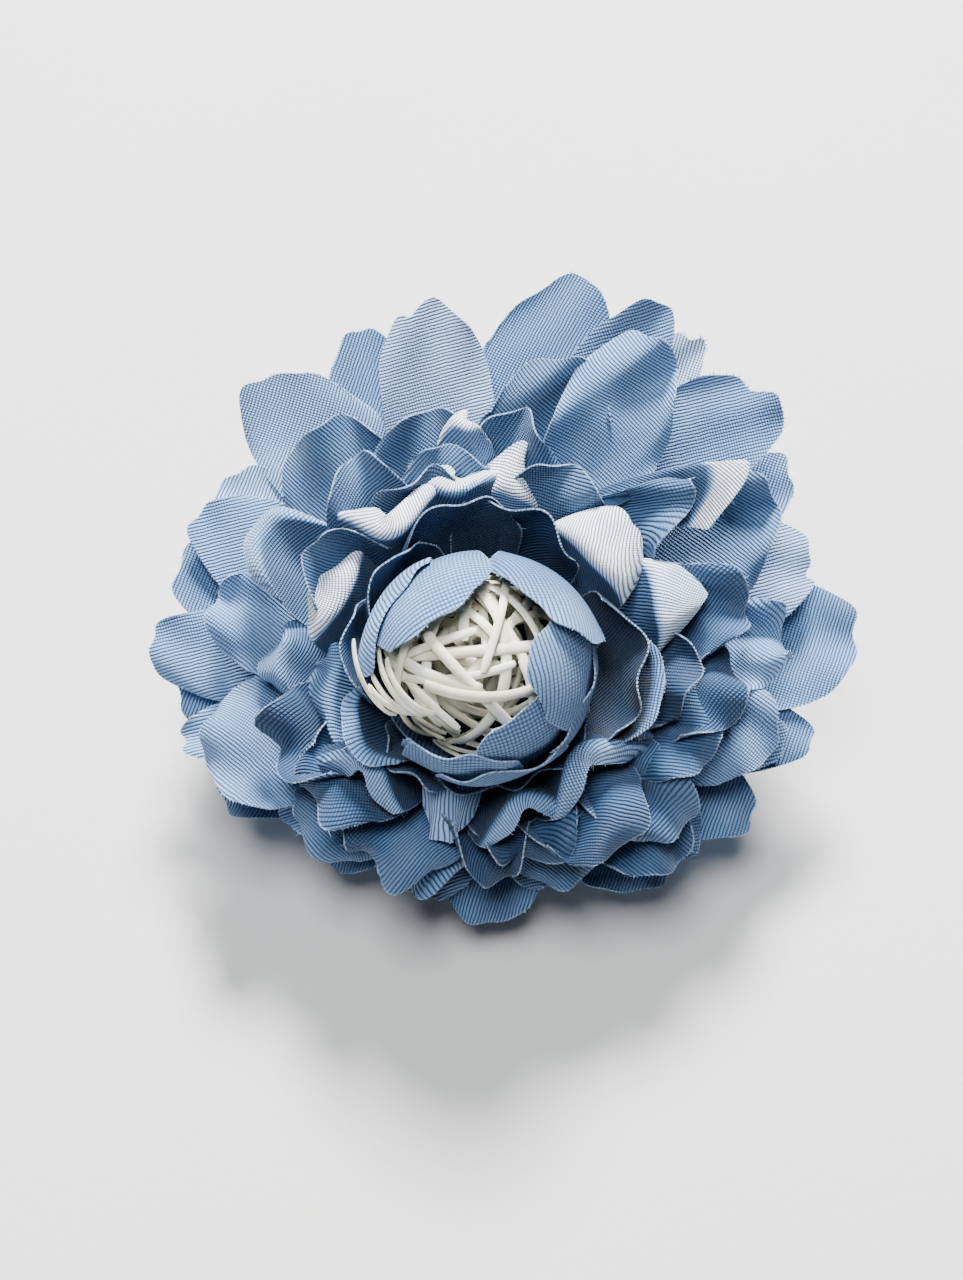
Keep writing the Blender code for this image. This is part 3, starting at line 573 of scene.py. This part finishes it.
class Nodes:
    """A short way to write a node tree."""

    def __init__(self, name):
        self.material = bpy.data.materials.new(name)
        self.material.use_nodes = True
        self.tree = self.material.node_tree
        self.shader = self.tree.nodes["Principled BSDF"]

    def put(self, socket, value):
        if hasattr(value, "is_output"):
            self.tree.links.new(value, socket)
        else:
            socket.default_value = value

    def math(self, operation, *values):
        node = self.tree.nodes.new("ShaderNodeMath")
        node.operation = operation
        for socket, value in zip(node.inputs, values):
            self.put(socket, value)
        return node.outputs[0]

    def add(self, kind, output=0, **inputs):
        node = self.tree.nodes.new(kind)
        for key, value in inputs.items():
            self.put(node.inputs[key.replace("_", " ")], value)
        return node.outputs[output]

    def mix(self, share, a, b, blend="MIX"):
        node = self.tree.nodes.new("ShaderNodeMix")
        node.data_type = "RGBA"
        node.blend_type = blend
        self.put(node.inputs[0], share)
        self.put(node.inputs[6], a)
        self.put(node.inputs[7], b)
        return node.outputs[2]

    def range(self, value, from_low, from_high, to_low, to_high):
        node = self.tree.nodes.new("ShaderNodeMapRange")
        for socket, given in zip(node.inputs, (value, from_low, from_high, to_low, to_high)):
            self.put(socket, given)
        return node.outputs[0]

    def uv(self, name):
        node = self.tree.nodes.new("ShaderNodeUVMap")
        node.uv_map = name
        split = self.tree.nodes.new("ShaderNodeSeparateXYZ")
        self.tree.links.new(node.outputs[0], split.inputs[0])
        return node.outputs[0], split.outputs[0], split.outputs[1]

    def noise(self, vector, scale, detail=3.0):
        return self.add("ShaderNodeTexNoise", 0, Vector=vector, Scale=scale, Detail=detail)

    def bump(self, height, distance, strength=1.0):
        node = self.tree.nodes.new("ShaderNodeBump")
        node.inputs["Strength"].default_value = strength
        node.inputs["Distance"].default_value = distance
        self.tree.links.new(height, node.inputs["Height"])
        self.tree.links.new(node.outputs[0], self.shader.inputs["Normal"])

    def set(self, **inputs):
        for key, value in inputs.items():
            self.put(self.shader.inputs[key.replace("_", " ")], value)
        return self.material


def cloth_material():
    """Stiffened woven cloth: ribs across each petal, a finer thread between them and pale frayed cuts, with a
    painted highlight on the rolled rims and painted shade at the roots, deep in the flower and between the
    threads.
    """
    n = Nodes("petal_cloth")
    vector, x, y = n.uv("cloth")
    _, tint, edge = n.uv("rim")
    sway = n.noise(vector, 500.0, 2.0)
    rib_place = n.math("MULTIPLY", x, math.pi / (THREAD * MM))
    cross_place = n.math("MULTIPLY", y, math.pi / (THREAD * 0.8 * MM))
    ribs = n.math("SINE", n.math("MULTIPLY_ADD", sway, 2.4, rib_place))
    cross = n.math("SINE", n.math("MULTIPLY_ADD", sway, 1.6, cross_place))
    rib_height = n.math("POWER", n.math("ABSOLUTE", ribs), 0.7)
    cross_height = n.math("POWER", n.math("ABSOLUTE", cross), 0.7)
    grid_share = n.range(n.noise(vector, 70.0, 2.0), 0.42, 0.60, 0.12, 0.75)
    cross_gap = n.math("MULTIPLY", grid_share, n.math("SUBTRACT", 1.0, cross_height))
    height = n.math("MULTIPLY", rib_height, n.math("SUBTRACT", 1.0, cross_gap))
    fibre = n.noise(vector, 6000.0, 2.0)
    blotch = n.noise(vector, 110.0, 4.0)
    tone = n.mix(tint, CLOTH_DEEP, CLOTH_PALE)
    # below 0 the colour blends into painted shade, deep in the flower
    tone = n.mix(n.range(tint, -1.0, 0.0, 1.0, 0.0), tone, CLOTH_PAINTED_SHADE)
    # above 1 the colour blends into the painted highlight on the rolled rims
    tone = n.mix(n.range(tint, 1.0, 2.0, 0.0, 1.0), tone, CLOTH_PAINTED_HIGHLIGHT)
    grey = n.math("MULTIPLY", n.range(blotch, 0.40, 0.72, 0.0, 0.5), n.range(tint, -0.2, 0.5, 0.0, 1.0))
    tone = n.mix(grey, tone, CLOTH_GREY)
    # the weave's own pattern, with painted shade between the ribs and a painted highlight on their tops
    shade = n.mix(n.range(height, 0.30, 0.92, 0.0, 1.0), CLOTH_GAP_WITH_SHADE, CLOTH_RIB_WITH_HIGHLIGHT)
    colour = n.mix(1.0, tone, shade, "MULTIPLY")
    loose = n.range(fibre, 0.35, 0.65, 0.15, 0.8)
    near_edge = n.math("MULTIPLY", n.range(edge, 0.0, 0.018, 1.0, 0.0), loose)
    colour = n.mix(near_edge, colour, CLOTH_CUT)
    n.bump(height, 0.00016, 1.0)
    return n.set(Base_Color=colour, Roughness=n.range(fibre, 0.3, 0.7, 0.48, 0.66), Sheen_Weight=0.06,
                 Sheen_Roughness=0.4, Specular_IOR_Level=0.28)


def strand_material():
    """Moulded cream plastic: matt, faintly waxy, darker and yellower in broad patches."""
    n = Nodes("strand_cream")
    place = n.add("ShaderNodeTexCoord", 3)
    fine, broad = n.noise(place, 2600.0, 3.0), n.noise(place, 240.0, 2.0)
    colour = n.mix(n.range(broad, 0.35, 0.65, 0.0, 1.0), (0.64, 0.61, 0.47, 1), (0.84, 0.84, 0.71, 1))
    n.bump(n.math("ADD", fine, broad), 0.00006, 0.6)
    return n.set(Base_Color=colour, Roughness=n.range(fine, 0.3, 0.7, 0.38, 0.55), Subsurface_Weight=0.06,
                 Subsurface_Scale=0.001, Specular_IOR_Level=0.4)


def felt_material():
    """Navy felt: a dull tangle of fibres, lighter where the fibres catch the light."""
    n = Nodes("felt_navy")
    place = n.add("ShaderNodeTexCoord", 3)
    fibres = n.noise(place, 3500.0, 6.0)
    clumps = n.noise(place, 700.0, 4.0)
    height = n.math("MULTIPLY_ADD", clumps, 0.6, fibres)
    navy, worn_navy, pale_navy = (0.012, 0.020, 0.042, 1), (0.050, 0.075, 0.130, 1), (0.075, 0.100, 0.155, 1)
    colour = n.mix(n.range(fibres, 0.35, 0.65, 0.0, 1.0), navy, worn_navy)
    colour = n.mix(n.range(clumps, 0.45, 0.75, 0.0, 0.4), colour, pale_navy)
    n.bump(height, 0.0003, 0.9)
    return n.set(Base_Color=colour, Roughness=0.95, Sheen_Weight=0.5, Sheen_Roughness=0.6,
                 Specular_IOR_Level=0.1)


def steel_material():
    """Nickel-plated spring steel, rolled along its length, with fine rubbed scratches."""
    n = Nodes("nickel")
    place = n.add("ShaderNodeTexCoord", 3)
    stretched = n.add("ShaderNodeMapping", 0, Vector=place, Scale=(1.0, 0.08, 1.0))
    rolled, worn = n.noise(stretched, 7000.0, 3.0), n.noise(place, 420.0, 4.0)
    colour = n.mix(n.range(worn, 0.3, 0.7, 0.0, 1.0), (0.56, 0.56, 0.57, 1), (0.74, 0.73, 0.72, 1))
    n.bump(rolled, 0.00002, 0.5)
    rough = n.math("ADD", n.range(rolled, 0.3, 0.7, 0.18, 0.30), n.range(worn, 0.4, 0.8, 0.0, 0.16))
    return n.set(Base_Color=colour, Roughness=rough, Metallic=1.0)


def stem_material():
    """Green moulded plastic with a slight orange-peel surface."""
    n = Nodes("stem_plastic")
    place = n.add("ShaderNodeTexCoord", 3)
    peel, broad = n.noise(place, 1500.0, 2.0), n.noise(place, 200.0, 2.0)
    colour = n.mix(n.range(broad, 0.3, 0.7, 0.0, 1.0), (0.045, 0.130, 0.045, 1), (0.090, 0.200, 0.075, 1))
    n.bump(peel, 0.00004, 0.5)
    return n.set(Base_Color=colour, Roughness=n.range(peel, 0.3, 0.7, 0.36, 0.52))


def glue_material():
    """Hot-melt glue: milky, glossy and full of small ripples and bubbles."""
    n = Nodes("hot_glue")
    place = n.add("ShaderNodeTexCoord", 3)
    ripples, bubbles = n.noise(place, 500.0, 2.0), n.noise(place, 2600.0, 1.0)
    colour = n.mix(n.range(bubbles, 0.55, 0.7, 0.0, 1.0), (0.62, 0.58, 0.46, 1), (0.86, 0.84, 0.76, 1))
    n.bump(ripples, 0.0003, 0.7)
    return n.set(Base_Color=colour, Roughness=n.range(ripples, 0.3, 0.7, 0.14, 0.30),
                 Transmission_Weight=0.35, Subsurface_Weight=0.1, Subsurface_Scale=0.002)


def paper_material():
    """The pale floor."""
    n = Nodes("floor_paper")
    place = n.add("ShaderNodeTexCoord", 3)
    grain, broad = n.noise(place, 900.0, 3.0), n.noise(place, 12.0, 2.0)
    colour = n.mix(n.range(broad, 0.3, 0.7, 0.0, 1.0), (0.585, 0.585, 0.575, 1), (0.610, 0.610, 0.600, 1))
    n.bump(grain, 0.0001, 0.5)
    return n.set(Base_Color=colour, Roughness=0.9)


# ---------------------------------------------------------------- building

BUD_WEAVE = 1.45  # the bud's cloth is stretched, so its threads lie further apart
FIRST_BUD_LAYER = 8
LAST_STACKED_LAYER = 4  # the outer layers are laid on each other petal by petal
STACK_GAP = 0.45
LOOSE = {1: 0.25, 2: 0.35, 3: 0.8, 4: 1.0, 5: 0.8, 6: 0.3, 7: 0.4}  # how much each layer's petals differ
PAINTED_BACK_LIGHT_FRONT_SHADE = 0.40  # painted light and shade: how much paler the outer petals are at the flower's back, towards the key light, and deeper at its front
LAYER_PAINTED_SHADE = {1: 0.05, 2: 0.05, 3: 0.15, 4: 0.3, 5: 0.35, 6: 0.1}  # how much painted shade deepens each outer layer


def loosen(given, amount):
    """Small chance differences in how a petal twists, leans and buckles."""
    random = np.random.default_rng(int(given["az"] * 10 + given["hub"] * 100))
    twist, bend, wave, phase, crease = random.uniform(-1, 1, 5)
    spec = dict(given)
    spec["twist"] += 16 * amount * twist
    spec["bend"] += 4 * amount * bend
    spec["crease"] += 9 * amount * crease
    spec["ripple"] += 0.25 * amount
    if spec["wave"] < 30:
        spec["wave"] += 14 * amount * (1 + wave)
    if spec["phase"] == 0:
        spec["phase"] += 180 * phase
    if spec["glow"] < 1:
        spec["frill"] += 1.5 * amount
    return spec


def grid_area(flat):
    """Area of a petal as cut, from its flat coordinates, without the part that its hub already covers."""
    first = int(np.searchsorted(np.linalg.norm(flat[:, flat.shape[1] // 2], axis=-1), HUB_RADIUS))
    flat = flat[first:]
    one, two = flat[1:, 1:] - flat[:-1, :-1], flat[1:, :-1] - flat[:-1, 1:]
    return float(np.abs(one[..., 0] * two[..., 1] - one[..., 1] * two[..., 0]).sum() / 2)


def petal_tint(spec, number, length, rows, random):
    """A petal's own tone with painted light and shade by side and layer, and how the painted highlight on its
    rim and the painted shade at its root change it from row to row.
    """
    tint = random.uniform(0.5, 1.1) if spec["tint"] is None else spec["tint"]
    if number in LAYER_PAINTED_SHADE:
        # painted light at the flower's back, which faces the key light, and painted shade at its front and on
        # the inner layers
        tint += PAINTED_BACK_LIGHT_FRONT_SHADE * math.sin(math.radians(spec["az"])) - LAYER_PAINTED_SHADE[number]
    from_tip = length * (1 - row_places(rows)[:, None])
    # painted highlight on the rolled rim
    glow = spec["glow"] * smooth((spec["rim_width"] + 0.3 - from_tip) / 1.2)
    # painted shade towards the root
    shade = spec["shade"] * (1 - smooth((length - from_tip) / length / spec["shade_to"]))
    return tint, glow, shade


def make_petals(material):
    """Makes each layer's cloth, and gives its object, the size it was cut to and its flat area by layer."""
    random = np.random.default_rng(41)
    stack = Stack()
    made = {}
    for number, petals in LAYERS.items():
        cloth = ClothMesh(BUD_WEAVE if number >= FIRST_BUD_LAYER else 1.0)
        cloth.add_hub(petals[0]["hub"], 0.5)
        area = math.pi * (HUB_RADIUS ** 2 - STEM_HOLE ** 2)
        for given in petals:
            spec = loosen(given, LOOSE.get(number, 0.0))
            points, flat, edge, length = petal_grid(spec)
            tint, glow, shade = petal_tint(spec, number, length, len(points), random)
            if number <= LAST_STACKED_LAYER:
                lift = stack.lift(points, STACK_GAP)
                points = points + np.stack([0 * lift, 0 * lift, lift], -1)
                stack.add(points)
            # the petal's own tone, with its painted highlight added and its painted shade taken off
            normal = cloth.add_sheet(points, flat, edge, tint + glow - shade)
            cloth.add_fray(points, normal, flat, tint, spec["fray"], random)
            area += grid_area(flat)
        cut = [float(side) for side in np.ptp(np.concatenate(cloth.flat), axis=0) * MM]
        made[number] = cloth.make(f"cloth_petals_{number}", material), cut, area * MM * MM
    return made


def strand_paths():
    """Paths and half widths of the moulded strands, long arcs that cross each other on shells of the ball."""
    random = np.random.default_rng(7)
    paths = []
    for shell, count in ((11.0, 25), (10.0, 20), (8.4, 12), (6.2, 6)):
        for _ in range(count):
            axis = random.normal(size=3)
            axis /= np.linalg.norm(axis)
            start = np.cross(axis, random.normal(size=3))
            start /= np.linalg.norm(start)
            other = np.cross(axis, start)
            sweep = random.uniform(1.8, 3.2)
            lean = random.uniform(-0.55, 0.55)
            t = np.linspace(0, 1, 34)
            angle = sweep * t
            wander = 0.07 * np.sin(4 * t + random.uniform(0, 6)) + lean
            direction = np.cos(angle)[:, None] * start + np.sin(angle)[:, None] * other
            direction = direction + wander[:, None] * axis
            direction /= np.linalg.norm(direction, axis=1, keepdims=True)
            radius = shell * (1 + 0.035 * np.sin(4 * t + random.uniform(0, 6)))
            paths.append((direction * radius[:, None], random.uniform(0.48, 0.72)))
    return paths


# Each broken strand at its two ends: the angle round the ball, the distance from the axis, and the height
BROKEN_STRANDS = (
    (226, 172, 9.0, 11.6, 6.4, 4.6),
    (222, 188, 9.4, 12.4, 5.2, 3.6),
    (214, 171, 11.4, 14.6, 3.6, 4.4),
    (233, 181, 8.2, 10.5, 7.0, 6.2),
    (228, 184, 8.8, 11.3, 6.2, 5.2),
    (219, 194, 9.8, 13.0, 4.6, 4.6),
)


def loose_strands():
    """Broken strands that stand off the ball on its left, from its lower front round to the back."""
    t = np.linspace(0, 1, 20)
    paths = []
    for first, last, near, far, low, high in BROKEN_STRANDS:
        turn = np.radians(first + (last - first) * t)
        radius = near + (far - near) * t ** 0.6
        height = low + (high - low) * t + np.sin(3 * t)
        paths.append((np.stack([radius * np.cos(turn), radius * np.sin(turn), height], -1), 0.5))
    return paths


def tube(points, radius, sides=8, flatten=0.45, centre=None, end_taper=0.7):
    """A closed tube of oval section along a path; its flat side faces away from centre."""
    points = np.asarray(points, float)
    along = np.gradient(points, axis=0)
    along /= np.linalg.norm(along, axis=1, keepdims=True)
    away = points - (centre if centre is not None else points.mean(0))
    away -= along * np.sum(away * along, axis=1, keepdims=True)
    away /= np.maximum(np.linalg.norm(away, axis=1, keepdims=True), 1e-9)
    across = np.cross(along, away)
    count = len(points)
    taper = np.ones(count)
    taper[0] = taper[-1] = end_taper
    turn = np.linspace(0, 2 * math.pi, sides, endpoint=False)
    sideways = np.cos(turn)[None, :, None] * across[:, None] * radius
    outwards = np.sin(turn)[None, :, None] * away[:, None] * radius * flatten
    ring = points[:, None] + (sideways + outwards) * taper[:, None, None]
    verts = ring.reshape(-1, 3)
    faces = []
    for i in range(count - 1):
        for k in range(sides):
            a, b = i * sides + k, i * sides + (k + 1) % sides
            faces.append((a, b, b + sides, a + sides))
    faces.append(tuple(range(sides - 1, -1, -1)))
    faces.append(tuple(range((count - 1) * sides, count * sides)))
    return verts, faces


def new_piece(name, points, faces, material, place=FLOWER):
    """A smooth mesh object from points in millimetres in the flower's frame, or in another place's."""
    mesh = bpy.data.meshes.new(name)
    world = np.array(place)
    mesh.from_pydata((np.asarray(points) @ world[:3, :3].T + world[:3, 3]).tolist(), [], faces)
    mesh.polygons.foreach_set("use_smooth", np.ones(len(mesh.polygons), bool))
    mesh.set_sharp_from_angle(angle=math.radians(50))
    mesh.materials.append(material)
    obj = bpy.data.objects.new(name, mesh)
    bpy.context.scene.collection.objects.link(obj)
    return obj


def make_ball(material):
    centre = np.array([0.0, 0.0, BALL_HEIGHT])
    verts, faces = [], []
    count = 0
    for path, radius in strand_paths() + loose_strands():
        v, f = tube(path + centre, radius, centre=centre)
        verts.append(v)
        faces.extend(tuple(i + count for i in face) for face in f)
        count += len(v)
    return new_piece("strand_ball", np.concatenate(verts), faces, material)


def felt_mesh(half_width, half_length, bottom, thickness, middle, steps=96):
    """A flat felt shape with round ends and a soft, slightly ragged edge, from its half sizes."""
    turn = np.linspace(0, 2 * math.pi, steps, endpoint=False)
    straight = half_length - half_width
    x, y = half_width * np.cos(turn), half_width * np.sin(turn)
    y = y + straight * np.sign(np.where(np.abs(np.sin(turn)) < 1e-9, 1, np.sin(turn)))
    ragged = 0.05 * np.sin(17 * turn + 1) + 0.04 * np.sin(41 * turn) + 0.03 * np.sin(29 * turn + 2)
    top = bottom + thickness
    profile = [(0.03, top), (0.35, top), (0.7, top + 0.03), (0.9, top),
               (0.97, top - 0.1 * thickness), (1.0, top - 0.35 * thickness),
               (1.004, bottom + 0.4 * thickness), (0.99, bottom + 0.15 * thickness),
               (0.96, bottom), (0.7, bottom), (0.35, bottom), (0.03, bottom)]
    rings = []
    for share, z in profile:
        edge = 1 + ragged / half_width * (share > 0.95)
        height = z + 0.03 * np.sin(5 * turn + 9 * share)
        rings.append(np.stack([x * share * edge, middle + y * share * edge, height], -1))
    points = np.concatenate(rings)
    faces = []
    for i in range(len(rings) - 1):
        for k in range(steps):
            a, b = i * steps + k, i * steps + (k + 1) % steps
            faces.append((a, b, b + steps, a + steps))
    faces.append(tuple(range(steps - 1, -1, -1)))
    faces.append(tuple(range((len(rings) - 1) * steps, len(rings) * steps)))
    return points, [face[::-1] for face in faces]


def spring_path():
    """The torsion spring's wire in millimetres from the hinge: upper leg, coil round the pin, lower leg."""
    upper, lower = (SPRING_LEG, UPPER_LEG_END), (SPRING_LEG, LOWER_LEG_END)

    def leaves(target, side):
        return math.atan2(target[1], target[0]) + side * math.acos(COIL_RADIUS / math.hypot(*target))

    first, last = leaves(upper, 1), leaves(lower, -1)
    sweep = (last - first) % (2 * math.pi) + 2 * math.pi * COIL_TURNS
    coil = []
    for t in np.linspace(0, 1, 36 * (COIL_TURNS + 1)):
        turn = first + sweep * t
        across = COIL_HALF_WIDTH * (2 * t - 1)
        coil.append((across, COIL_RADIUS * math.cos(turn), COIL_RADIUS * math.sin(turn)))
    ends = [np.linspace((-COIL_HALF_WIDTH, *upper), coil[0], 12, endpoint=False),
            np.linspace(coil[-1], (COIL_HALF_WIDTH, *lower), 13)[1:]]
    return np.concatenate([ends[0], coil, ends[1]])


# ---------------------------------------------------------------- camera and studio

def look_at(location, target):
    return (Vector(target) - Vector(location)).to_track_quat("-Z", "Y").to_euler()


def make_camera():
    elevation, distance = math.radians(66.0), 0.28
    target = Vector((0.0004, -0.0064, 0.0286))
    camera = bpy.data.objects.new("camera", bpy.data.cameras.new("camera"))
    bpy.context.scene.collection.objects.link(camera)
    camera.data.lens = 65.0
    camera.data.sensor_width = 36.0
    camera.data.clip_start = 0.01
    camera.location = target + Vector((0, -math.cos(elevation), math.sin(elevation))) * distance
    camera.rotation_euler = look_at(camera.location, target)
    bpy.context.scene.camera = camera


def area_light(name, location, target, size, power, colour=(1, 1, 1)):
    light = bpy.data.lights.new(name, "AREA")
    light.shape = "DISK"
    light.size = size
    light.energy = power
    light.color = colour
    obj = bpy.data.objects.new(name, light)
    bpy.context.scene.collection.objects.link(obj)
    obj.location = location
    obj.rotation_euler = look_at(location, target)
    return obj


def make_studio():
    bpy.ops.mesh.primitive_plane_add(size=4.0)
    floor = bpy.context.object
    floor.name = "floor"
    floor.data.materials.append(paper_material())
    world = bpy.data.worlds.new("studio")
    world.use_nodes = True
    background = world.node_tree.nodes["Background"]
    background.inputs["Color"].default_value = (0.90, 0.94, 1.0, 1)
    background.inputs["Strength"].default_value = 0.105
    bpy.context.scene.world = world
    area_light("key", (0.06, 0.80, 0.86), (0, 0, 0.02), 0.32, 76.0, (1.0, 0.99, 0.975))
    area_light("top", (-0.10, 0.02, 1.05), (0, 0, 0.02), 0.50, 15.0, (0.96, 0.98, 1.0))


# ---------------------------------------------------------------- the pieces

cloth = cloth_material()
for number, (obj, across, area) in make_petals(cloth).items():
    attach(obj, "clip_and_flower")
    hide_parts(f"petal_layer_{number}")

cream = strand_material()
ball = make_ball(cream)
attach(ball, "clip_and_flower")
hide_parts("core_cage", "core_inner_tangle")

felt = felt_material()
backing = new_piece("felt_round", *felt_mesh(15.0, 15.0, 0.02, 1.3, 0.0), felt)
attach(backing, "clip_and_flower")
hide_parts("felt_backing")

liner = new_piece("felt_strip", *felt_mesh(2.3, 9.5, -2.2, 0.72, -2.5), felt)
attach(liner, "clip_and_flower")
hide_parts("jaw_liner")

nickel = steel_material()
wire_points, wire_faces = tube(spring_path(), WIRE / 2, sides=12, flatten=1.0, centre=np.zeros(3),
                               end_taper=1.0)
spring = new_piece("spring_wire", wire_points, wire_faces, nickel,
                   Matrix.Translation(Vector(HINGE) * MM) @ Matrix.Scale(MM, 4))
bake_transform(spring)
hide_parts("clip_spring")

NODE_LOOKS = {"clip_steel": nickel, "stem_green": stem_material(), "glue_clear": glue_material()}
SLOT_OF = {row["node"]: row["material_slot"] for row in frame["record"]["subparts"]}
for name, node in frame["nodes"].items():
    look = NODE_LOOKS.get(SLOT_OF[name])
    if look:
        for slot in node.material_slots:
            slot.material = look

make_studio()
make_camera()
